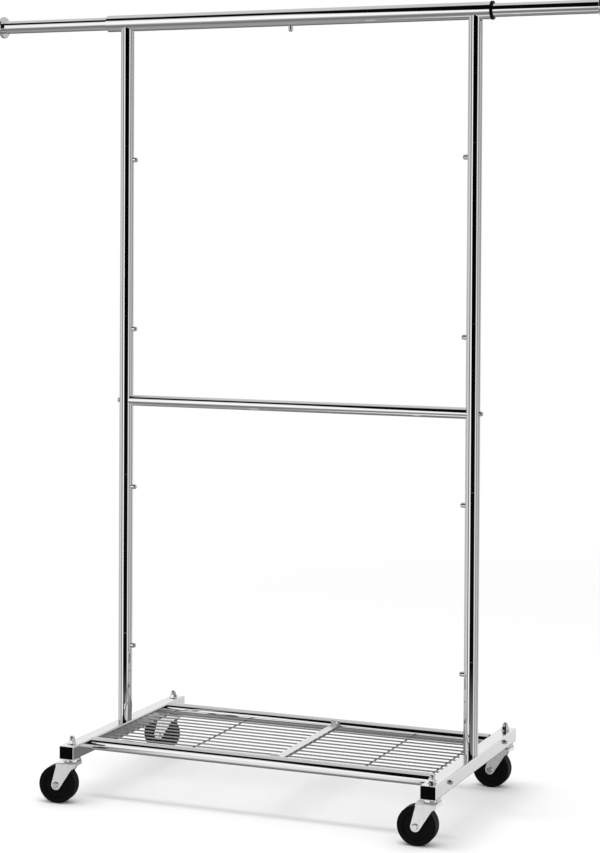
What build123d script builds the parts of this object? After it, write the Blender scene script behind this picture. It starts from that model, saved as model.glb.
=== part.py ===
from build123d import *
import os
from math import acos, atan2, cos, hypot, sin, sqrt

os.makedirs("parts", exist_ok=True)

# Millimetres. X runs along the rails, Y from front to back, Z up.
# The origin is on the floor, midway between the two uprights.

# Frame
upright_spacing = 840
upright_d = 32
tube_wall = 1.5
base_section = 205        # upright sections, from the foot top upwards
lower_section = 368
middle_section = 365
upper_section = 390
top_section = 285         # last seam to the axis of the top rail
spigot_length = 60        # swaged lower end of a section, inside the one below
slip_fit = 0.15           # radial, for tubes pushed into each other
seam_chamfer = 0.7

# Top rail and its extensions
rail_d = 38
rail_end_left = 49        # rail past the upright axis
rail_end_right = 36
rail_seam = 17            # X of the joint between the halves
joiner_length = 120
extension_d = 30
extension_wall = 1.2
extension_out_left = 275  # tube in view between rail end and cap
extension_out_right = 236.5
extension_overlap = 130   # tube inside the rail
bush_length = 40
bush_recess = 1.5
collar_d = 41
collar_width = 4.5
collar_edge = 0.8
running_fit = 0.06
cap_d = 50
cap_thick = 7
cap_spigot = 16

# Snap buttons
button_d = 11.5
button_reach = 11
rail_button_d = 11
rail_button_reach = 13
button_from_seam = 30
clip_width = 12
clip_thick = 1.2
clip_gap = 0.3

# Crossbar
crossbar_d = 25
crossbar_up = 170         # above the lower seam of the middle section
crossbar_seam = -30
bar_joiner_length = 90
insert_length = 20
bolt_d = 6
bolt_head_d = 12
bolt_head_h = 6.5
hole_fit = 0.2            # radial, round bolts and screws
thread_fit = 0.05

# Feet
foot_length = 567
foot_width = 35
foot_height = 30
foot_wall = 1.2
foot_corner = 3
plug_depth = 15
plug_recess = 0.6
stem_inset = 27           # caster stem from the foot end

# Shelf
shelf_rail_d = 28
shelf_up = 4              # rail axis above the middle of the foot
shelf_rail_inset = 90.5   # rail axis from the foot end
shelf_seam = 34
wire_d = 3.5
wire_count = 12
wire_margin = 24.5        # first and last wire from the rails
wire_weld = 0.6           # depth to which crossing wires melt together
wire_end_gap = 8
end_wire_clear = 4        # end cross wires past the inserts in the rails
inner_wire_offset = 6     # last cross wire from the shelf joint
mid_wire_shift = 8        # middle cross wire of the right panel, towards the foot
wire_hole_fit = 0.25
strap_width = 20
strap_thick = 2
strap_tab = 10
strap_screw_d = 4
strap_screw_shift = 5

# Casters
wheel_d = 84
wheel_width = 32
wheel_gap = 5.5           # tread to the underside of the fork web
wheel_side_gap = 3        # tread to each fork leg
hub_gap = 0.5
race_height = 9           # fork web to the underside of the foot
hub_d = 23
caster_trail = 30
stem_d = 8
fork_sheet = 2.5
fork_back = 15            # fork edge behind the stem
skirt_height = 9
shoulder_in = 10          # leg edge in from the fork edge
shoulder_down = 15
leg_round = 10.5
axle_d = 8
axle_head_d = 14.5
axle_head_h = 4
race_d = 26
cup_d = 40
cup_sheet = 2.5
cup_depth = 6.5
washer_d = 20
washer_thick = 1.6
nut_across = 15
nut_height = 7
nut_dome_d = 12
nut_dome = 10
swivel_front_left = 8     # wheel directions as the rack stands, degrees
swivel_front_right = 2.5
swivel_back_left = 0
swivel_back_right = 0

# Derived places
half_span = upright_spacing / 2
fork_gap = wheel_width + 2 * wheel_side_gap
fork_top = wheel_d + wheel_gap + fork_sheet
caster_height = fork_top + race_height
foot_top = caster_height + foot_height
foot_mid = caster_height + foot_height / 2
shelf_z = foot_mid + shelf_up
seams = [foot_top, foot_top + base_section]
for section in (lower_section, middle_section, upper_section):
    seams.append(seams[-1] + section)
rail_z = seams[-1] + top_section
crossbar_z = seams[2] + crossbar_up
rail_left = -half_span - rail_end_left
rail_right = half_span + rail_end_right
collar_right = rail_right + collar_width
foot_inner = half_span - foot_width / 2
rail_y = foot_length / 2 - shelf_rail_inset
wire_pitch = (2 * rail_y - shelf_rail_d - 2 * wire_margin) / (wire_count - 1)
upright_r = upright_d / 2
spigot_r = upright_r - tube_wall - slip_fit
joiner_r = rail_d / 2 - tube_wall - slip_fit
stem_y = foot_length / 2 - stem_inset
end_wire_inset = insert_length + end_wire_clear
cross_wires_left = [-foot_inner + end_wire_inset, (shelf_seam - foot_inner) / 2, shelf_seam - inner_wire_offset]
cross_wires_right = [shelf_seam + inner_wire_offset, (shelf_seam + foot_inner) / 2 + mid_wire_shift, foot_inner - end_wire_inset]
cross_z = shelf_z - wire_d + wire_weld

XP, XM = (1, 0, 0), (-1, 0, 0)
YP, YM = (0, 1, 0), (0, -1, 0)
ZP, ZM = (0, 0, 1), (0, 0, -1)
FROM_BASE = (Align.CENTER, Align.CENTER, Align.MIN)


def save(name, *shapes):
    solids = [s for shape in shapes for s in shape.solids()]
    export_step(solids[0] if len(solids) == 1 else Compound(children=solids), f"parts/{name}.step")


def rod(d, start, direction, length):
    """Solid round bar from a start point along a direction."""
    return Plane(origin=start, z_dir=direction) * Cylinder(d / 2, length, align=FROM_BASE)


def tube(d, wall, start, direction, length):
    return rod(d, start, direction, length) - rod(d - 2 * wall, start, direction, length)


def turned(points):
    """Solid of revolution about Z from (radius, height) points."""
    return revolve(Plane.XZ * make_face(Polyline(*points, close=True)), axis=Axis.Z)


def upright_section(x, side, z0, z1, spigot, socket):
    """One tube of an upright, with a swaged spigot below and a socket hole above."""
    r, bore, c = upright_r, upright_r - tube_wall, seam_chamfer
    if spigot:
        inner = spigot_r - tube_wall
        tip = z0 - spigot_length
        points = [(inner, tip), (spigot_r - c, tip), (spigot_r, tip + 2 * c), (spigot_r, z0), (r - c, z0),
                  (r, z0 + c), (r, z1 - c), (r - c, z1), (bore, z1), (bore, z0 + 4), (inner, z0 + 1.5)]
    else:
        points = [(bore, z0), (r, z0), (r, z1 - c), (r - c, z1), (bore, z1)]
    shape = Pos(x, 0, 0) * turned(points)
    if spigot:
        shape -= rod(button_d + 2 * running_fit, (x, 0, z0 - button_from_seam), (side, 0, 0), r)
    if socket:
        shape -= rod(button_d + 2 * clip_gap, (x, 0, z1 - button_from_seam), (side, 0, 0), r + 1)
    return shape


def upright(name, x, side):
    """Five sections: welded base, lower, middle with the crossbar screw, upper and coped top."""
    save(f"{name}_base", upright_section(x, side, seams[0], seams[1], False, True))
    save(f"{name}_lower", upright_section(x, side, seams[1], seams[2], True, True))
    middle = upright_section(x, side, seams[2], seams[3], True, True)
    middle -= rod(bolt_d + 2 * hole_fit, (x - upright_d, 0, crossbar_z), XP, 2 * upright_d)
    save(f"{name}_middle", middle)
    save(f"{name}_upper", upright_section(x, side, seams[3], seams[4], True, True))
    top = upright_section(x, side, seams[4], rail_z, True, False)
    save(f"{name}_top", top - rod(rail_d, (x - upright_d, 0, rail_z), XP, 2 * upright_d))


def button(d, tube_r, clip_r, reach):
    """Snap button on the free leg of its clip; local Z points out of the tube."""
    seat = sqrt((clip_r - clip_gap) ** 2 - (clip_width / 2) ** 2)
    r, tip = d / 2, tube_r + reach
    pin = turned([(0, seat - clip_thick), (r, seat - clip_thick), (r, tip - 0.8 * r), (0.93 * r, tip - 0.5 * r),
                  (0.75 * r, tip - 0.23 * r), (0.4 * r, tip - 0.05 * r), (0, tip)])
    leg = Pos(0, 0, seat - clip_thick / 2) * Box(2.4 * clip_width, clip_width, clip_thick)
    return pin + leg


def clip(clip_r):
    """Fixed leg and bend of the spring clip behind a snap button, same local frame."""
    front = sqrt((clip_r - clip_gap) ** 2 - (clip_width / 2) ** 2) - clip_thick / 2
    back = -sqrt((clip_r - thread_fit) ** 2 - (clip_width / 2) ** 2) + clip_thick / 2
    bend, low = (front - back) / 2, -1.2 * clip_width - clip_gap
    leg = Pos(0, back) * Rectangle(2.4 * clip_width + 2 * clip_gap, clip_thick)
    ring = Circle(bend + clip_thick / 2) - Circle(bend - clip_thick / 2)
    ring -= Pos(2 * bend, 0) * Rectangle(4 * bend, 4 * bend)
    outline = leg + Pos(low, (front + back) / 2) * ring
    return extrude(Plane.XZ * outline, amount=clip_width / 2, both=True)


def pointing(x, y, z, out):
    """Place for a button: local Z along out, local -X down or along the rail."""
    along = (1, 0, 0) if out[2] else (0, 0, 1)
    return Plane(origin=(x, y, z), x_dir=along, z_dir=out)


def snap_buttons():
    clips = []
    for name, x, out in (("left", -half_span, XP), ("right", half_span, XM)):
        for row in range(1, 5):
            place = pointing(x, 0, seams[row] - button_from_seam, out)
            save(f"button_{name}_{row}", place * button(button_d, upright_r, spigot_r - tube_wall, button_reach))
            clips.append(place * clip(spigot_r - tube_wall))
    place = pointing(rail_seam - button_from_seam, 0, rail_z, ZM)
    save("button_rail", place * button(rail_button_d, rail_d / 2, joiner_r - tube_wall, rail_button_reach))
    clips.append(place * clip(joiner_r - tube_wall))
    save("button_clips", *clips)


def top_rail():
    """Two rail halves, the guide bushes in their outer ends."""
    left = tube(rail_d, tube_wall, (rail_left, 0, rail_z), XP, rail_seam - rail_left)
    hole = rod(rail_button_d + 2 * clip_gap, (rail_seam - button_from_seam, 0, rail_z), ZM, rail_d)
    save("top_rail_left", left - hole)
    save("top_rail_right", tube(rail_d, tube_wall, (rail_seam, 0, rail_z), XP, rail_right - rail_seam))
    bore, out = extension_d / 2 + running_fit, rail_d / 2 - tube_wall - thread_fit
    sleeve = turned([(bore, 0), (out, 0), (out, bush_length), (bore, bush_length)])
    edge = collar_width - collar_edge
    collar = turned([(bore, -bush_length), (out, -bush_length), (out, 0), (collar_d / 2, 0), (collar_d / 2, edge),
                     (collar_d / 2 - collar_edge, collar_width), (bore, collar_width)])
    save("rail_bush_left", Plane(origin=(rail_left + bush_recess, 0, rail_z), z_dir=XP) * sleeve)
    save("rail_collar_right", Plane(origin=(rail_right, 0, rail_z), z_dir=XP) * collar)


def extension(name, rail_end, out, length, collar):
    """Telescoping tube with its flanged cap; out is the outward direction."""
    sign = out[0]
    inner = rail_end - sign * extension_overlap
    face = rail_end + sign * (length + collar)
    total = extension_overlap + length + collar
    save(f"extension_{name}", tube(extension_d, extension_wall, (inner, 0, rail_z), out, total))
    r, plug = cap_d / 2, extension_d / 2 - extension_wall - thread_fit
    cap = turned([(0, -cap_spigot), (plug, -cap_spigot), (plug, 0), (r - 1, 0), (r, 1), (r, cap_thick - 1.5),
                  (r - 1.5, cap_thick), (0, cap_thick)])
    save(f"extension_cap_{name}", Plane(origin=(face, 0, rail_z), z_dir=out) * cap)


def joiners():
    """Sleeves inside the joints of the rail, the crossbar and the two shelf rails."""
    rail = tube(2 * joiner_r, tube_wall, (rail_seam - joiner_length / 2, 0, rail_z), XP, joiner_length)
    rail -= rod(rail_button_d + 2 * running_fit, (rail_seam - button_from_seam, 0, rail_z), ZM, rail_d)
    d = crossbar_d - 2 * tube_wall - 2 * slip_fit
    bar = tube(d, tube_wall, (crossbar_seam - bar_joiner_length / 2, 0, crossbar_z), XP, bar_joiner_length)
    d = shelf_rail_d - 2 * tube_wall - 2 * slip_fit
    shelf = []
    for y in (-rail_y, rail_y):
        sleeve = tube(d, tube_wall, (shelf_seam - bar_joiner_length / 2, y, shelf_z), XP, bar_joiner_length)
        shelf.append(sleeve - strap_hole(y))
    save("tube_joiners", rail, bar, *shelf)


def crossbar():
    """Two halves with coped outer ends against the uprights."""
    for name, x, start, end in (("left", -half_span, -half_span, crossbar_seam), ("right", half_span, crossbar_seam, half_span)):
        half = tube(crossbar_d, tube_wall, (start, 0, crossbar_z), XP, end - start)
        half -= rod(upright_d, (x, 0, crossbar_z - crossbar_d), ZP, 2 * crossbar_d)
        save(f"crossbar_{name}", half)


def bolt(seat, direction, grip):
    """Domed head on the seat plane, shank along the direction."""
    r, h = bolt_head_d / 2, bolt_head_h
    head = turned([(0, 0), (bolt_d / 2, 0), (bolt_d / 2, grip), (0, grip)])
    head += turned([(0, -h), (r * 0.45, -h), (r * 0.85, -h * 0.7), (r, -h * 0.25), (r, 0), (0, 0)])
    head -= Pos(0, 0, -h) * extrude(RegularPolygon(bolt_d * 0.36, 6), amount=h * 0.6)
    return Plane(origin=seat, z_dir=direction) * head


def insert(d, start, direction):
    """Threaded plug in a tube end."""
    bore = bolt_d + 2 * thread_fit
    return tube(d - 2 * tube_wall - 2 * thread_fit, (d - 2 * tube_wall - 2 * thread_fit - bore) / 2, start, direction, insert_length)


def bolts_and_inserts():
    inserts, bar_bolts, shelf_bolts = [], [], []
    for side, inward in ((-1, XP), (1, XM)):
        inserts.append(insert(crossbar_d, (side * (half_span - upright_r - 1), 0, crossbar_z), inward))
        bar_bolts.append(bolt((side * (half_span + upright_r), 0, crossbar_z), inward, upright_d + insert_length))
        for y in (-rail_y, rail_y):
            inserts.append(insert(shelf_rail_d, (side * (foot_inner - 1), y, shelf_z), inward))
            seat = (side * (half_span + foot_width / 2), y, shelf_z)
            shelf_bolts.append(bolt(seat, inward, foot_width + insert_length))
    save("tube_inserts", *inserts)
    save("crossbar_bolts", *bar_bolts)
    save("shelf_bolts", *shelf_bolts)


def foot(name, x):
    """Rectangular tube with holes for the caster stems and the shelf bolts."""
    outer = RectangleRounded(foot_width, foot_height, foot_corner)
    inner = RectangleRounded(foot_width - 2 * foot_wall, foot_height - 2 * foot_wall, foot_corner - foot_wall)
    shape = Pos(x, 0, foot_mid) * extrude(Plane.XZ * (outer - inner), amount=foot_length / 2, both=True)
    for y in (-stem_y, stem_y):
        shape -= rod(stem_d + 2 * hole_fit, (x, y, caster_height - 1), ZP, foot_height + 2)
    for y in (-rail_y, rail_y):
        shape -= rod(bolt_d + 2 * hole_fit, (x - foot_width, y, shelf_z), XP, 2 * foot_width)
    save(f"foot_{name}", shape)


def foot_plugs():
    wide, high = foot_width - 2 * foot_wall - 2 * thread_fit, foot_height - 2 * foot_wall - 2 * thread_fit
    plug = extrude(Plane.XZ * RectangleRounded(wide, high, foot_corner - foot_wall), amount=plug_depth / 2, both=True)
    y = foot_length / 2 - plug_recess - plug_depth / 2
    save("foot_plugs", *[Pos(x, s * y, foot_mid) * plug for x in (-half_span, half_span) for s in (-1, 1)])


def strap_hole(y):
    """Hole for the strap screw through a shelf rail."""
    start = (shelf_seam + strap_screw_shift, 0, shelf_z + wire_d / 2 + strap_thick + strap_tab / 2)
    return rod(strap_screw_d + 2 * hole_fit, start, YP if y > 0 else YM, abs(y))


def shelf_rails():
    """Front and back rail in two halves, with holes for the wire ends and the strap screw."""
    for name, y, back in (("front", -rail_y, YP), ("back", rail_y, YM)):
        for half, start, end, wires in (("left", -foot_inner, shelf_seam, cross_wires_left[:2]),
                                        ("right", shelf_seam, foot_inner, cross_wires_right[1:])):
            shape = tube(shelf_rail_d, tube_wall, (start, y, shelf_z), XP, end - start)
            for x in wires:
                shape -= rod(wire_d + 2 * wire_hole_fit, (x, y, cross_z), back, shelf_rail_d)
            if half == "right":
                shape -= strap_hole(y)
            save(f"shelf_rail_{name}_{half}", shape)


def wire_panel(name, start, end, cross, short):
    """Welded panel: long wires along X on cross wires whose ends enter the shelf rails."""
    inside = rail_y - shelf_rail_d / 2
    wires = [rod(wire_d, (start, (i - (wire_count - 1) / 2) * wire_pitch, shelf_z), XP, end - start)
             for i in range(wire_count)]
    for x in cross:
        reach = inside - 4 if x == short else inside + 4
        wires.append(rod(wire_d, (x, -reach, cross_z), YP, 2 * reach))
    panel = wires[-1]
    save(f"wire_panel_{name}", panel.fuse(*wires[:-1]))


def centre_strap():
    """Flat bar over the inner panel ends, its ends turned up against the shelf rails."""
    low = shelf_z + wire_d / 2
    inside = rail_y - shelf_rail_d / 2 - strap_thick
    strap = Pos(shelf_seam, 0, low + strap_thick / 2) * Box(strap_width, 2 * rail_y, strap_thick)
    screws = []
    z = low + strap_thick + strap_tab / 2
    for s in (-1, 1):
        tab = Pos(shelf_seam, s * (inside + strap_thick), low + (strap_thick + strap_tab) / 2)
        strap += tab * Box(strap_width, 2 * strap_thick, strap_thick + strap_tab)
        screw = turned([(0, -2.4), (strap_screw_d * 0.7, -2.4), (strap_screw_d, -1), (strap_screw_d, 0),
                        (strap_screw_d / 2, 0), (strap_screw_d / 2, 14), (0, 14)])
        screws.append(Plane(origin=(shelf_seam + strap_screw_shift, s * inside, z), z_dir=(0, s, 0)) * screw)
    for y in (-rail_y, rail_y):
        strap -= rod(shelf_rail_d, (shelf_seam - strap_width, y, shelf_z), XP, 2 * strap_width)
        strap -= Pos(shelf_seam, y * 1.5, low) * Box(2 * strap_width, rail_y, 6 * strap_tab)
        strap -= rod(strap_screw_d + 2 * hole_fit, (shelf_seam + strap_screw_shift, 0, z), (0, y, 0), rail_y)
    save("centre_strap", strap.solids().sort_by(SortBy.VOLUME)[-1])
    save("strap_screws", *screws)


def tangent_point(px, pz, cx, cz, r, side):
    """Point where the line from (px, pz) touches the circle, on the given side."""
    away = atan2(pz - cz, px - cx)
    turn = acos(r / hypot(px - cx, pz - cz))
    return cx + r * cos(away + side * turn), cz + r * sin(away + side * turn)


def fork():
    """Stamped fork about the stem: web with a raised race, two tapering legs, two skirts."""
    axle_x, axle_z = -caster_trail, wheel_d / 2
    front = -caster_trail
    low = wheel_d
    wide = fork_gap + 2 * fork_sheet
    neck = fork_back - shoulder_in, fork_top - shoulder_down
    edge = [(front, fork_top), (fork_back, fork_top), (fork_back, fork_top - skirt_height), neck,
            tangent_point(*neck, axle_x, axle_z, leg_round, -1),
            tangent_point(front, low, axle_x, axle_z, leg_round, 1), (front, low)]
    outline = make_face(Polyline(*edge, close=True)) + Pos(axle_x, axle_z) * Circle(leg_round)
    outline -= Pos(axle_x, axle_z) * Circle(axle_d / 2 + thread_fit)
    shape = extrude(Plane.XZ * outline, amount=wide / 2, both=True)
    cut = Pos((front + fork_back) / 2, 0, fork_top - fork_sheet)
    length = fork_back - front - 2 * fork_sheet
    inside = Box(length, fork_gap, fork_top, align=(Align.CENTER, Align.CENTER, Align.MAX))
    shape = fillet(shape.edges().filter_by(Axis.X).group_by(Axis.Z)[-1], fork_sheet)
    shape -= cut * inside
    slot = Box(4 * wheel_d, fork_gap, low, align=(Align.CENTER, Align.CENTER, Align.MIN))
    shape -= slot
    shape -= Pos(front, 0, low) * Box(4 * fork_sheet, fork_gap, 6, align=FROM_BASE) - Pos(front, 0, low + 3) * Box(
        4 * fork_sheet, fork_gap, 6, align=FROM_BASE)
    return shape


def caster_race():
    """Raised race on the fork web, bored for the stem."""
    bore, r = stem_d / 2 + running_fit, race_d / 2
    top = caster_height - cup_sheet - clip_gap
    return turned([(bore, fork_top - fork_sheet), (r, fork_top - fork_sheet), (r, top - 2), (r - 2, top), (bore, top)])


def caster_stem():
    """Stem with the fixed cup over the race and the riveted head under the web."""
    r, cup, top = stem_d / 2, cup_d / 2, caster_height
    low = fork_top - fork_sheet - clip_gap
    tip = foot_top + washer_thick + nut_height + 2
    return turned([(0, low - 3), (2 * r - 1, low - 3), (2 * r, low - 1.5), (2 * r, low), (r, low), (r, top - cup_sheet),
                   (cup - 2 * cup_sheet, top - cup_sheet), (cup - cup_sheet, top - 2 * cup_sheet),
                   (cup - cup_sheet, top - cup_depth), (cup, top - cup_depth), (cup, top - cup_sheet),
                   (cup - cup_sheet, top), (r, top), (r, tip), (0, tip)])


def dome_nut():
    """Domed cap nut with a blind bore, its seat at Z = 0."""
    r, h, top = nut_dome_d / 2, nut_height, nut_height + nut_dome
    nut = extrude(RegularPolygon(nut_across / 2, 6, major_radius=False), amount=h)
    nut += turned([(0, 0), (r, 0), (r, top - r), (r * 0.92, top - r * 0.6), (r * 0.7, top - r * 0.28),
                   (r * 0.38, top - r * 0.07), (0, top)])
    return nut - rod(stem_d + 2 * thread_fit, (0, 0, 0), ZP, h + 3)


def axle():
    """Riveted axle with a ringed head on each side of the fork."""
    r, h, side = axle_head_d / 2, axle_head_h, fork_gap / 2 + fork_sheet
    half = [(axle_d / 2, side), (r, side), (r, side + h * 0.4), (r - 1.2, side + h * 0.65), (r - 2, side + h * 0.65),
            (r - 2.6, side + h), (0, side + h)]
    points = half + [(x, -z) for x, z in reversed(half)]
    return Pos(-caster_trail, 0, wheel_d / 2) * Rot(90, 0, 0) * turned(points)


def wheel():
    """Black wheel: rounded tread, dished sides, hub bored for the axle."""
    bore, r, w, hub = axle_d / 2 + running_fit, wheel_d / 2, wheel_width / 2, hub_d / 2
    face = fork_gap / 2 - hub_gap
    half = [(bore, face), (hub - 1, face), (hub, face - 1), (hub, w - 3), (r - 13, w - 3), (r - 12, w - 0.6),
            (r - 10.5, w), (r - 3, w), (r - 1, w - 0.8), (r - 0.2, w - 2.5), (r, w - 6)]
    points = half + [(x, -z) for x, z in reversed(half)]
    return Pos(-caster_trail, 0, r) * Rot(90, 0, 0) * turned(points)


def casters():
    stems, washers, nuts = [], [], []
    for name, x, y, swivel in (("front_left", -half_span, -stem_y, swivel_front_left),
                               ("front_right", half_span, -stem_y, swivel_front_right),
                               ("back_left", -half_span, stem_y, swivel_back_left),
                               ("back_right", half_span, stem_y, swivel_back_right)):
        place = Pos(x, y, 0) * Rot(0, 0, swivel)
        body = fork() + caster_race() - rod(stem_d + 2 * running_fit, (0, 0, 0), ZP, caster_height)
        save(f"fork_{name}", place * body)
        save(f"axle_{name}", place * axle())
        save(f"wheel_{name}", place * wheel())
        stems.append(Pos(x, y, 0) * caster_stem())
        washers.append(tube(washer_d, (washer_d - stem_d) / 2 - hole_fit, (x, y, foot_top), ZP, washer_thick))
        nuts.append(Pos(x, y, foot_top + washer_thick) * dome_nut())
    save("caster_stems", *stems)
    save("nut_washers", *washers)
    save("dome_nuts", *nuts)


upright("upright_left", -half_span, 1)
upright("upright_right", half_span, -1)
snap_buttons()
top_rail()
extension("left", rail_left, XM, extension_out_left, 0)
extension("right", rail_right, XP, extension_out_right, collar_width)
joiners()
crossbar()
bolts_and_inserts()
foot("left", -half_span)
foot("right", half_span)
foot_plugs()
shelf_rails()
wire_panel("left", -foot_inner + wire_end_gap, shelf_seam - 1, cross_wires_left, cross_wires_left[2])
wire_panel("right", shelf_seam + 1, foot_inner - wire_end_gap, cross_wires_right, cross_wires_right[0])
centre_strap()
casters()
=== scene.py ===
import math

import bmesh
import bpy
from mathutils import Matrix, Vector

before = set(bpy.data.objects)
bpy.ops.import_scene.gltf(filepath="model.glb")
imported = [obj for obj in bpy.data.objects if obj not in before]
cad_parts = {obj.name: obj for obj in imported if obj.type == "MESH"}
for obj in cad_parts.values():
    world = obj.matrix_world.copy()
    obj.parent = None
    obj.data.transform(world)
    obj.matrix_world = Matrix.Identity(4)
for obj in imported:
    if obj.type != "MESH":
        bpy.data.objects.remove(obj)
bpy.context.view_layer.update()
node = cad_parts


# Feet: two rectangular steel tubes, polished and chrome plated, that carry the uprights.
# The plating is bright but not perfect, so its gloss wanders a little over the surface.
def plating_haze_group():
    group = bpy.data.node_groups.new("plating_haze", "ShaderNodeTree")
    for name in ("Scale", "Clearest", "Dullest"):
        group.interface.new_socket(name, in_out="INPUT", socket_type="NodeSocketFloat")
    group.interface.new_socket("Roughness", in_out="OUTPUT", socket_type="NodeSocketFloat")
    inside, outside = group.nodes.new("NodeGroupInput"), group.nodes.new("NodeGroupOutput")
    place = group.nodes.new("ShaderNodeTexCoord")
    cloud = group.nodes.new("ShaderNodeTexNoise")
    cloud.inputs["Detail"].default_value = 3
    spread = group.nodes.new("ShaderNodeMapRange")
    link = group.links.new
    link(place.outputs["Object"], cloud.inputs["Vector"])
    link(inside.outputs["Scale"], cloud.inputs["Scale"])
    link(cloud.outputs["Fac"], spread.inputs["Value"])
    link(inside.outputs["Clearest"], spread.inputs["To Min"])
    link(inside.outputs["Dullest"], spread.inputs["To Max"])
    link(spread.outputs["Result"], outside.inputs["Roughness"])
    return group


plating_haze = plating_haze_group()


def plated(name, colour, clearest, dullest, haze_scale):
    material = bpy.data.materials.new(name)
    material.use_nodes = True
    surface = material.node_tree.nodes["Principled BSDF"]
    surface.inputs["Base Color"].default_value = (*colour, 1)
    surface.inputs["Metallic"].default_value = 1
    haze = material.node_tree.nodes.new("ShaderNodeGroup")
    haze.node_tree = plating_haze
    haze.inputs["Scale"].default_value = haze_scale
    haze.inputs["Clearest"].default_value = clearest
    haze.inputs["Dullest"].default_value = dullest
    material.node_tree.links.new(haze.outputs["Roughness"], surface.inputs["Roughness"])
    return material


def dress(material, *names):
    for name in names:
        node[name].data.materials.clear()
        node[name].data.materials.append(material)


foot_chrome = plated("foot_chrome", (0.86, 0.86, 0.87), clearest=0.10, dullest=0.18, haze_scale=14)
dress(foot_chrome, "foot_left", "foot_right")


# Foot plugs, rail bush and rail collar: black moulded plastic, pushed into the ends of the tubes.
# The mould leaves a fine matt grain.
def moulded(name, colour, roughness, grain):
    material = bpy.data.materials.new(name)
    material.use_nodes = True
    tree = material.node_tree
    surface = tree.nodes["Principled BSDF"]
    surface.inputs["Base Color"].default_value = (*colour, 1)
    surface.inputs["Roughness"].default_value = roughness
    surface.inputs["Specular IOR Level"].default_value = 0.05
    place = tree.nodes.new("ShaderNodeTexCoord")
    cloud = tree.nodes.new("ShaderNodeTexNoise")
    cloud.inputs["Scale"].default_value = grain
    bump = tree.nodes.new("ShaderNodeBump")
    bump.inputs["Strength"].default_value = 0.15
    bump.inputs["Distance"].default_value = 0.0004
    tree.links.new(place.outputs["Object"], cloud.inputs["Vector"])
    tree.links.new(cloud.outputs["Fac"], bump.inputs["Height"])
    tree.links.new(bump.outputs["Normal"], surface.inputs["Normal"])
    return material


black_plastic = moulded("black_plastic", (0.0015, 0.0015, 0.0015), roughness=0.5, grain=900)
dress(black_plastic, "foot_plugs", "rail_bush_left", "rail_collar_right")


# Uprights: five chromed tube sections each, the lower end of one swaged into the next.
# The base sections are welded to the feet and the coped top sections to the rail.
tube_chrome = plated("tube_chrome", (0.95, 0.95, 0.96), clearest=0.015, dullest=0.035, haze_scale=9)
for side in ("left", "right"):
    for section in ("base", "lower", "middle", "upper", "top"):
        dress(tube_chrome, f"upright_{side}_{section}")


# Top rail and extensions: a larger chromed tube in two halves, thinner tubes sliding inside.
# A pressed round cap closes the outer end of each extension.
dress(tube_chrome, "top_rail_left", "top_rail_right", "extension_left", "extension_right")
cap_chrome = plated("cap_chrome", (0.82, 0.82, 0.83), clearest=0.05, dullest=0.1, haze_scale=20)
dress(cap_chrome, "extension_cap_left", "extension_cap_right")


# Crossbar: a thin chromed tube in two halves that meet on a sleeve, coped against the uprights.
# A bolt through each upright screws into an insert in the end of the tube.
dress(tube_chrome, "crossbar_left", "crossbar_right")


# Snap buttons, bolts, screws, nuts and washers: small steel pieces with bright plating.
# The buttons sit on spring clips inside the tubes. Clips, inserts and sleeves are plain steel.
bright_hardware = plated(
    "bright_hardware", (0.93, 0.93, 0.94), clearest=0.03, dullest=0.06, haze_scale=60)
dress(bright_hardware, "dome_nuts", "nut_washers", "strap_screws")
dress(bright_hardware, "crossbar_bolts", "shelf_bolts", "button_rail")
for side in ("left", "right"):
    dress(bright_hardware, *[f"button_{side}_{row}" for row in range(1, 5)])
plain_steel = plated("plain_steel", (0.5, 0.5, 0.5), clearest=0.3, dullest=0.4, haze_scale=40)
dress(plain_steel, "button_clips", "tube_inserts", "tube_joiners")


# Shelf: two chromed rails in halves, bolted between the feet, that carry two welded wire panels.
# A flat strap is screwed over the joint. Wires and strap are plated in bulk, so they are duller.
shelf_chrome = plated("shelf_chrome", (0.90, 0.90, 0.91), clearest=0.02, dullest=0.05, haze_scale=9)
for side in ("left", "right"):
    dress(shelf_chrome, f"shelf_rail_front_{side}", f"shelf_rail_back_{side}")
wire_chrome = plated("wire_chrome", (0.58, 0.58, 0.59), clearest=0.10, dullest=0.16, haze_scale=25)
dress(wire_chrome, "wire_panel_left", "wire_panel_right")
strap_chrome = plated("strap_chrome", (0.86, 0.86, 0.87), clearest=0.2, dullest=0.28, haze_scale=25)
dress(strap_chrome, "centre_strap")


# Casters: forks stamped from sheet steel and bright zinc plated, turning on plated stems.
# The zinc is paler than the chrome and keeps faint upright streaks from the dip.
# The axles are riveted.
zinc = plated("zinc", (0.9, 0.9, 0.91), clearest=0.12, dullest=0.22, haze_scale=120)
zinc_tree = zinc.node_tree
zinc_surface = zinc_tree.nodes["Principled BSDF"]
zinc_surface.inputs["Metallic"].default_value = 0.65
zinc_place = zinc_tree.nodes.new("ShaderNodeTexCoord")
zinc_stretch = zinc_tree.nodes.new("ShaderNodeMapping")
zinc_stretch.inputs["Scale"].default_value = (1, 1, 0.2)
zinc_streaks = zinc_tree.nodes.new("ShaderNodeTexNoise")
zinc_streaks.inputs["Scale"].default_value = 260
zinc_streaks.inputs["Detail"].default_value = 4
zinc_tones = zinc_tree.nodes.new("ShaderNodeValToRGB")
dull_zinc, bright_zinc = zinc_tones.color_ramp.elements
dull_zinc.position, dull_zinc.color = 0.35, (0.9, 0.9, 0.91, 1)
bright_zinc.position, bright_zinc.color = 0.65, (0.99, 0.99, 0.99, 1)
zinc_tree.links.new(zinc_place.outputs["Object"], zinc_stretch.inputs["Vector"])
zinc_tree.links.new(zinc_stretch.outputs["Vector"], zinc_streaks.inputs["Vector"])
zinc_tree.links.new(zinc_streaks.outputs["Fac"], zinc_tones.inputs["Fac"])
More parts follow.
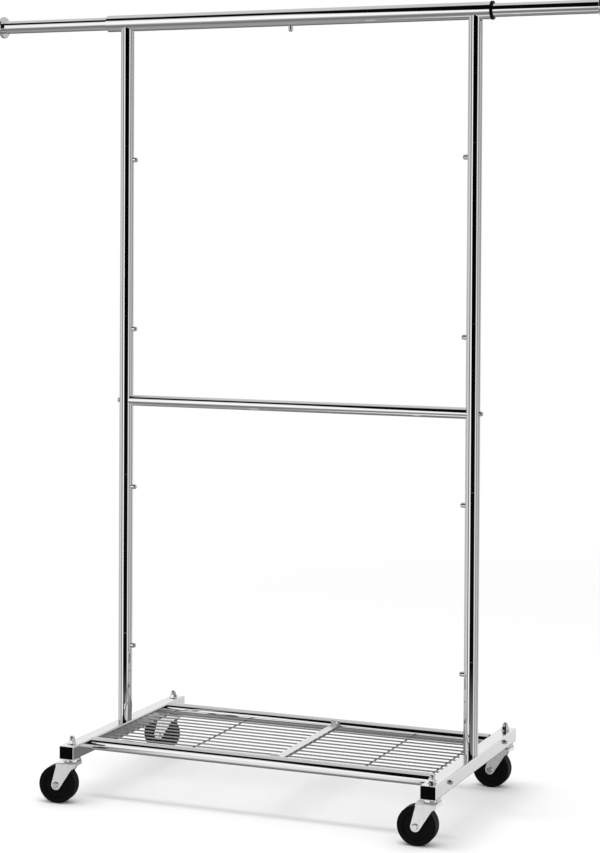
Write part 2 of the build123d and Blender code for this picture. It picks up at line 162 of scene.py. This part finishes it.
zinc_tree.links.new(zinc_tones.outputs["Color"], zinc_surface.inputs["Base Color"])
corners = ("front_left", "front_right", "back_left", "back_right")
dress(zinc, *[f"fork_{corner}" for corner in corners])
dress(bright_hardware, "caster_stems", *[f"axle_{corner}" for corner in corners])


# Wheels: hard black plastic with a dished centre, one moulding each, turning on the axles.
# The same fine grain covers tread and hub.
wheel_black = moulded("wheel_black", (0.005, 0.005, 0.0055), roughness=0.45, grain=500)
dress(wheel_black, *[f"wheel_{corner}" for corner in corners])


# Floor: one pale painted sheet, wide enough for every view, that fades to white far from the rack.
# Chrome mirrors only the part close to the rack. There it sees a glowing painted reflection in
# place of the lit floor:
# painted shade under the shelf and a light tone in front of it. Farther off the floor is clear to
# glossy rays, so that the tubes show the studio's painted walls all the way down.
floor_span = 40
mesh = bmesh.new()
bmesh.ops.create_grid(mesh, x_segments=1, y_segments=1, size=floor_span / 2)
floor_mesh = bpy.data.meshes.new("floor")
mesh.to_mesh(floor_mesh)
mesh.free()
floor = bpy.data.objects.new("floor", floor_mesh)
bpy.context.scene.collection.objects.link(floor)
floor_paint = bpy.data.materials.new("floor_paint")
floor_paint.use_nodes = True
floor_tree = floor_paint.node_tree
floor_link = floor_tree.links.new
paint = floor_tree.nodes["Principled BSDF"]
paint.inputs["Base Color"].default_value = (0.96, 0.96, 0.96, 1)
paint.inputs["Roughness"].default_value = 1
paint.inputs["Specular IOR Level"].default_value = 0
oval = (1.6, 1, 1)  # distances along the rail count more than those across it
spot = floor_tree.nodes.new("ShaderNodeTexCoord")
squeeze = floor_tree.nodes.new("ShaderNodeVectorMath")
squeeze.operation = "MULTIPLY"
squeeze.inputs[1].default_value = oval
reach = floor_tree.nodes.new("ShaderNodeVectorMath")
reach.operation = "LENGTH"
floor_link(spot.outputs["Object"], squeeze.inputs[0])
floor_link(squeeze.outputs["Vector"], reach.inputs[0])


def floor_range(value, from_range, to_range):
    spread = floor_tree.nodes.new("ShaderNodeMapRange")
    for socket, number in zip(("From Min", "From Max", "To Min", "To Max"), from_range + to_range):
        spread.inputs[socket].default_value = number
    floor_link(value, spread.inputs["Value"])
    return spread.outputs["Result"]


def blend(amount, first, second):
    either = floor_tree.nodes.new("ShaderNodeMixShader")
    for socket, value in enumerate((amount, first, second)):
        floor_link(value, either.inputs[socket])
    return either.outputs[0]


# Painted reflection: for glossy rays the near floor is an emission, dark where the shelf shades the
# floor and light in front of it.
mirrored_edge, white_edge, shelf_front = (0.55, 0.8), (1.8, 4.0), (-0.3, -0.2)
painted_reflection_light, painted_reflection_dark = 0.85, 0.18
rays = floor_tree.nodes.new("ShaderNodeLightPath")
depth = floor_tree.nodes.new("ShaderNodeSeparateXYZ")
floor_link(spot.outputs["Object"], depth.inputs[0])
painted_floor_reflection = floor_tree.nodes.new("ShaderNodeEmission")
painted_under_rack_tone = floor_range(depth.outputs["Y"], shelf_front, (painted_reflection_light, painted_reflection_dark))
floor_link(painted_under_rack_tone, painted_floor_reflection.inputs["Color"])
clear = floor_tree.nodes.new("ShaderNodeBsdfTransparent")
far_off = floor_range(reach.outputs["Value"], mirrored_edge, (0, 1))
painted_floor_in_chrome = blend(far_off, painted_floor_reflection.outputs[0], clear.outputs[0])
white = floor_tree.nodes.new("ShaderNodeEmission")
seen_white = floor_tree.nodes.new("ShaderNodeMath")
seen_white.operation = "MULTIPLY"
floor_link(floor_range(reach.outputs["Value"], white_edge, (0, 1)), seen_white.inputs[0])
floor_link(rays.outputs["Is Camera Ray"], seen_white.inputs[1])
painted = blend(seen_white.outputs[0], paint.outputs[0], white.outputs[0])
floor_surface = blend(rays.outputs["Is Glossy Ray"], painted, painted_floor_in_chrome)
floor_link(floor_surface, floor_tree.nodes["Material Output"].inputs["Surface"])
floor_mesh.materials.append(floor_paint)


# Studio: a white room that lights everything with plain grey. Bright metal needs something dark to
# show that it is round, so only glossy rays see painted reflections of a room with a dark doorway
# in front, a dark beam overhead, a low dark door behind and greyer walls to the sides.
studio = bpy.data.worlds.new("studio")
bpy.context.scene.world = studio
studio.use_nodes = True
room_tree = studio.node_tree
room_tree.nodes.clear()
room_link = room_tree.links.new


def set_or_link(socket, value):
    if isinstance(value, (int, float, tuple)):
        socket.default_value = value
    else:
        room_link(value, socket)


def math_node(operation, first, second):
    step = room_tree.nodes.new("ShaderNodeMath")
    step.operation = operation
    set_or_link(step.inputs[0], first)
    set_or_link(step.inputs[1], second)
    return step.outputs[0]


def ramp_node(value, stops):
    ramp = room_tree.nodes.new("ShaderNodeValToRGB")
    room_link(value, ramp.inputs[0])
    points = ramp.color_ramp.elements
    while len(points) < len(stops):
        points.new(0.5)
    for point, (place, tone) in zip(points, stops):
        point.position = place
        point.color = (tone, tone, tone, 1)
    return ramp.outputs[0]


def mix_node(amount, first, second, blend_type="MIX"):
    mix = room_tree.nodes.new("ShaderNodeMix")
    mix.data_type = "RGBA"
    mix.blend_type = blend_type
    sockets = [socket for socket in mix.inputs if socket.enabled]
    for socket, value in zip(sockets, (amount, first, second)):
        set_or_link(socket, value)
    return [socket for socket in mix.outputs if socket.enabled][0]


def angle_node(sideways, forward):
    turns = math_node("DIVIDE", math_node("ARCTAN2", sideways, forward), 2 * math.pi)
    return math_node("ADD", turns, 0.5)


def by_angle(value, stops):
    return ramp_node(value, [(degrees / 360 + 0.5, tone) for degrees, tone in stops])


direction = room_tree.nodes.new("ShaderNodeTexCoord")
split = room_tree.nodes.new("ShaderNodeSeparateXYZ")
room_link(direction.outputs["Generated"], split.inputs[0])
rightwards, backwards, upwards = split.outputs
forwards = math_node("MULTIPLY", backwards, -1)
downwards = math_node("MULTIPLY", upwards, -1)
bearing = angle_node(rightwards, forwards)
rise = angle_node(upwards, forwards)
black = 0.003

# Painted reflection, for glossy rays only: wall tones by bearing, with the dark doorway in front, a
# grey ground and ceiling.
painted_wall_reflection = by_angle(bearing, [
    (-180, 0.95), (-158, 0.9), (-139, 0.9), (-128, 0.48), (-97, 0.5), (-80, 0.64), (-62, 0.64),
    (-54, 0.5), (-49, 0.16), (-37, 0.14), (-32, 0.9), (-26, 1), (-15, 1), (-12, black),
    (50, black), (55, 0.9), (66, 0.7), (74, 0.22), (84, 0.28), (93, 0.6), (118, 0.32),
    (140, 0.3), (158, 0.85)])
ground = ramp_node(downwards, [
    (0.25, 0.6), (0.35, 0.42), (0.5, 0.23), (0.7, 0.16), (0.88, 0.32), (1, 0.28)])
ceiling = (0.6, 0.6, 0.6, 1)
below = ramp_node(downwards, [(0.2, 0), (0.32, 1)])
above = ramp_node(upwards, [(0.34, 0), (0.5, 1)])
painted_plain_room = mix_node(above, mix_node(below, painted_wall_reflection, ground), ceiling)

# Painted reflection of a dark beam overhead and of a low dark door behind.
beam_sag = 40 / 360
sag = math_node("MULTIPLY", by_angle(bearing, [(-27, 0), (-14, 1), (30, 1), (45, 0)]), beam_sag)
beam_foot = by_angle(math_node("ADD", rise, sag), [(33, 1), (38, black)])
beam_head = by_angle(rise, [(69, black), (76, 1)])
painted_beam_reflection = math_node("MAXIMUM", beam_foot, beam_head)
door_width = by_angle(bearing, [(-177, 1), (-175, 0.01), (-142, 0.01), (-139.5, 1)])
door_height = ramp_node(downwards, [(0, 1), (0.06, 0), (0.42, 0), (0.52, 1)])
painted_door_reflection = math_node("MAXIMUM", door_width, door_height)
painted_reflection_room = mix_node(1, painted_plain_room, math_node("MULTIPLY", painted_beam_reflection, painted_door_reflection), "MULTIPLY")

# Glossy rays see the painted reflections, other rays get plain grey light, and the camera sees a
# white background.
path = room_tree.nodes.new("ShaderNodeLightPath")
lighting_grey, background_white = (0.9, 0.9, 0.9, 1), (1, 1, 1, 1)
room = mix_node(path.outputs["Is Glossy Ray"], lighting_grey, painted_reflection_room)
glow = room_tree.nodes.new("ShaderNodeBackground")
room_link(mix_node(path.outputs["Is Camera Ray"], room, background_white), glow.inputs["Color"])
studio_output = room_tree.nodes.new("ShaderNodeOutputWorld")
room_link(glow.outputs[0], studio_output.inputs[0])


# Lamp: one long soft box over the front of the rack, lying along it, so that the rails keep
# a shadow and the shadows of the feet melt away. The chrome doesn't mirror it.
lamp_data = bpy.data.lights.new("soft_box", "AREA")
lamp_data.shape = "RECTANGLE"
lamp_data.size, lamp_data.size_y = 3.2, 1.0
lamp_data.energy = 45
lamp = bpy.data.objects.new("soft_box", lamp_data)
lamp.location = (-0.5, -0.6, 3.8)
lamp.rotation_euler.x = math.radians(10)
lamp.visible_glossy = False
bpy.context.scene.collection.objects.link(lamp)


# Camera: at the photograph's place, to the right of the rack and about two thirds up its height.
# It looks nearly level, which keeps the uprights upright, and the lens is shifted down
# to take in the wheels.
image_height = 853
sensor = 36
focal_pixels = 2144.2
optical_centre_row = 272.0
turn, tilt, roll = math.radians(22.447), math.radians(-1.058), math.radians(0.319)
camera_data = bpy.data.cameras.new("camera")
camera_data.sensor_width = sensor
camera_data.lens = sensor * focal_pixels / image_height
camera_data.shift_y = (optical_centre_row - image_height / 2) / image_height
camera_data.clip_end = 100
camera = bpy.data.objects.new("camera", camera_data)
bpy.context.scene.collection.objects.link(camera)
ahead = Vector((-math.sin(turn) * math.cos(tilt), math.cos(turn) * math.cos(tilt), math.sin(tilt)))
level_right = Vector((math.cos(turn), math.sin(turn), 0))
level_up = level_right.cross(ahead)
camera_right = math.cos(roll) * level_right + math.sin(roll) * level_up
camera_up = math.cos(roll) * level_up - math.sin(roll) * level_right
camera_axes = Matrix((camera_right, camera_up, -ahead)).transposed()
camera.matrix_world = Matrix.Translation((1.8425, -4.4288, 1.2638)) @ camera_axes.to_4x4()
bpy.context.scene.camera = camera
bpy.context.scene.view_settings.view_transform = "Standard"
